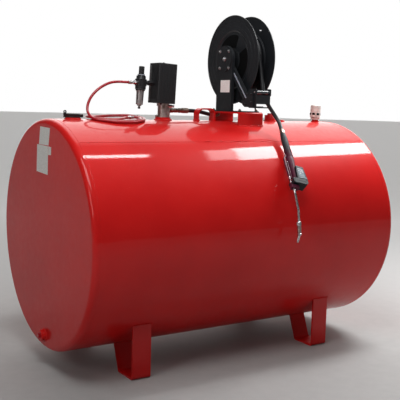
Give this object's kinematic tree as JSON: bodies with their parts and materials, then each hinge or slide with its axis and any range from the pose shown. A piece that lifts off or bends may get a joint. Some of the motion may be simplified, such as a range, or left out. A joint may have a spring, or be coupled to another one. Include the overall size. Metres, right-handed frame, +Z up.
{
  "type": "lubrication oil tank",
  "caption": "Horizontal skid-style steel oil tank on bent flat-bar feet, with an air-driven transfer pump, filter-regulator, hose reel and metered control handle.",
  "frame": {"origin": "on the ground, under the middle of the box around the tank and its fittings without the free hoses", "axes": "+X along the tank towards its vent end, +Y towards the rear, away from the control handle, +Z up"},
  "size_m": [1.7344, 1.146, 1.6875],
  "materials": {
    "red_paint": "gloss",
    "red_plug_paint": "satin",
    "cap_black": "satin",
    "pump_metal": "satin",
    "black_plastic": "matte",
    "plated_steel": "satin",
    "bright_steel": "bright",
    "bowl_metal": "satin",
    "red_rubber": "satin",
    "black_rubber": "satin",
    "black_paint": "satin",
    "roller_plastic": "gloss",
    "handle_metal": "satin",
    "meter_plastic": "satin",
    "vent_aluminium": "satin"
  },
  "bodies": {
    "root": {"tank_shell": "red_paint", "head_left": "red_paint", "head_right": "red_paint", "foot_left_front": "red_paint", "foot_right_front": "red_paint", "foot_left_rear": "red_paint", "foot_right_rear": "red_paint", "fill_collar": "red_paint", "tank_bungs": "red_paint", "pipe_plugs": "red_plug_paint", "fill_cap_ring": "cap_black", "pump_body": "pump_metal", "air_motor_cover": "black_plastic", "pump_outlet": "plated_steel", "regulator_body": "black_plastic", "filter_bowl": "bowl_metal", "air_inlet_fitting": "bright_steel", "air_hose": "red_rubber", "air_hose_coil": "red_rubber", "air_hose_coupler": "bright_steel", "lifting_lug": "red_paint", "reel_bracket": "red_paint", "reel_stand": "black_paint", "reel_inlet": "plated_steel", "whip_hose": "black_rubber", "guide_arm": "black_paint", "guide_head": "black_paint", "delivery_hose": "black_rubber", "hose_swivel": "plated_steel", "control_handle": "handle_metal", "meter": "meter_plastic", "extension_tube": "bright_steel", "nozzle": "bright_steel", "vent_cap": "vent_aluminium"},
    "cap": {"fill_cap": "cap_black"},
    "knob": {"regulator_knob": "black_plastic"},
    "spool": {"near_disc": "black_paint", "far_disc": "black_paint", "drum_core": "black_paint", "wound_hose": "black_rubber"},
    "roller_front": {"front_roller": "roller_plastic"},
    "roller_rear": {"rear_roller": "roller_plastic"},
    "trigger": {"trigger": "handle_metal"}
  },
  "joints": [
    {"name": "spool_spin", "type": "hinge", "parent": "root", "child": "spool", "pos_m": [0.24, 0.0416, 1.461], "axis": [1, 0, 0], "continuous": true},
    {"name": "fill_cap_hinge", "type": "hinge", "parent": "root", "child": "cap", "pos_m": [-0.655, 0.0416, 1.1665], "axis": [0, 1, 0], "range_deg": [0, 90]},
    {"name": "regulator_knob_turn", "type": "hinge", "parent": "root", "child": "knob", "pos_m": [-0.3414, 0.0416, 1.38489], "axis": [0.061, 0, 0.9981], "continuous": true},
    {"name": "front_roller_spin", "type": "hinge", "parent": "root", "child": "roller_front", "pos_m": [0.214, -0.1894, 1.296], "axis": [1, 0, 0], "continuous": true},
    {"name": "rear_roller_spin", "type": "hinge", "parent": "root", "child": "roller_rear", "pos_m": [0.214, -0.1509, 1.255], "axis": [1, 0, 0], "continuous": true},
    {"name": "trigger_pull", "type": "hinge", "parent": "root", "child": "trigger", "pos_m": [0.21215, -0.40553, 0.96215], "axis": [0, -0.7112, 0.703], "range_deg": [0, 2.5], "stiffness_Nm_per_rad": 1, "springref_deg": -14.32}
  ]
}
